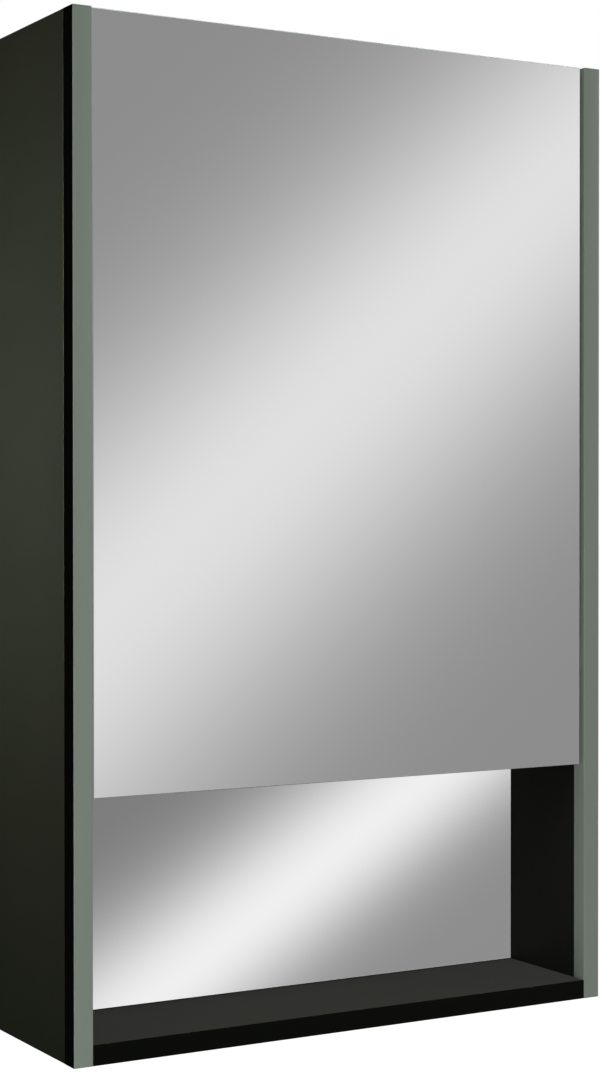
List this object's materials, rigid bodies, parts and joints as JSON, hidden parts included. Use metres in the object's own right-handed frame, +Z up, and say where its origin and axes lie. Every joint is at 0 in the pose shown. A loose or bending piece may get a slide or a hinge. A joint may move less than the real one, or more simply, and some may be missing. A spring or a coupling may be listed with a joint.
{
  "type": "medicine cabinet with mirror",
  "caption": "Wall-hung bathroom cabinet with a full-width mirrored door over an open mirror-backed niche, metal front edges, glass shelves and an adjustable hanging rail.",
  "frame": {"origin": "on the wall plane behind the cabinet, midway between the two screw holes of the hanging rail, 740 mm above the cabinet's underside", "axes": "+X to the right as seen from the front, +Y back into the wall, +Z up; the mirrored front faces -Y"},
  "size_m": [0.5, 0.15, 0.8],
  "materials": {
    "graphite_board": "melamine-faced particle board, graphite, fine matt grain",
    "black_edging": "ABS edging, black, matt",
    "satin_aluminium": "satin anodised edge profile, grey",
    "mirror_glass": "silvered float glass with a ground edge",
    "shelf_glass": "clear float glass, polished edge",
    "hardboard": "thin fibreboard with a dark grey face",
    "beech": "fluted beech dowel, bare",
    "nickel_plated": "nickel-plated steel, bright",
    "zinc_plated": "zinc-plated steel and zinc casting, dull",
    "grey_plastic": "moulded plastic, light grey",
    "clear_rubber": "soft translucent bumper",
    "magnet": "ferrite magnet between steel poles"
  },
  "bodies": {
    "carcass": {"side_panel_left": "graphite_board", "side_panel_right": "graphite_board", "edge_profile_left": "satin_aluminium", "edge_profile_right": "satin_aluminium", "top_panel": "graphite_board", "middle_panel": "graphite_board", "bottom_panel": "graphite_board", "top_edge_band": "black_edging", "middle_edge_band": "black_edging", "bottom_edge_band": "black_edging", "back_panel": "hardboard", "back_panel_screws": "zinc_plated", "niche_back_board": "graphite_board", "niche_mirror": "mirror_glass", "cam_locks": "zinc_plated", "cam_bolts": "nickel_plated", "dowels": "beech", "glass_shelf_lower": "shelf_glass", "glass_shelf_upper": "shelf_glass", "shelf_pins_lower": "nickel_plated", "shelf_pins_upper": "nickel_plated", "door_bumpers": "clear_rubber", "catch_body": "grey_plastic", "catch_magnet": "magnet", "catch_screws": "zinc_plated", "hinge_arm_lower": "nickel_plated", "hinge_arm_upper": "nickel_plated", "hinge_arm_screws_lower": "zinc_plated", "hinge_arm_screws_upper": "zinc_plated", "wall_rail": "zinc_plated", "hanger_housing_left": "zinc_plated", "hanger_housing_right": "zinc_plated", "hanger_fixing_screws": "zinc_plated", "hanger_cover_left": "grey_plastic", "hanger_cover_right": "grey_plastic"},
    "door": {"door_panel": "graphite_board", "door_edge_band": "black_edging", "door_mirror": "mirror_glass", "strike_plate": "nickel_plated", "strike_screw": "zinc_plated", "hinge_socket_lower": "zinc_plated", "hinge_socket_upper": "zinc_plated", "hinge_pin_lower": "nickel_plated", "hinge_pin_upper": "nickel_plated", "hinge_socket_screws_lower": "zinc_plated", "hinge_socket_screws_upper": "zinc_plated"},
    "hook_left": {"hanger_hook_left": "nickel_plated"},
    "hook_right": {"hanger_hook_right": "nickel_plated"},
    "height_screw_left": {"hanger_screw_left": "nickel_plated"},
    "height_screw_right": {"hanger_screw_right": "nickel_plated"}
  },
  "joints": [
    {"name": "door_hinge", "type": "hinge", "parent": "carcass", "child": "door", "pos_m": [0.222, -0.14, 0], "axis": [0, 0, 1], "range_deg": [0, 95]},
    {"name": "hook_left_height", "type": "slide", "parent": "carcass", "child": "hook_left", "axis": [0, 0, 1], "range_m": [0, 0.006]},
    {"name": "height_screw_left_turn", "type": "hinge", "parent": "carcass", "child": "height_screw_left", "pos_m": [-0.2155, -0.05, 0], "axis": [0, 0, 1], "range_deg": [0, 1728]},
    {"name": "hook_right_height", "type": "slide", "parent": "carcass", "child": "hook_right", "axis": [0, 0, 1], "range_m": [0, 0.006]},
    {"name": "height_screw_right_turn", "type": "hinge", "parent": "carcass", "child": "height_screw_right", "pos_m": [0.2155, -0.05, 0], "axis": [0, 0, 1], "range_deg": [0, 1728]}
  ],
  "couplings": [
    {"joint": "height_screw_left_turn", "follows": "hook_left_height", "rad_per_m": 5026.5},
    {"joint": "height_screw_right_turn", "follows": "hook_right_height", "rad_per_m": 5026.5}
  ]
}
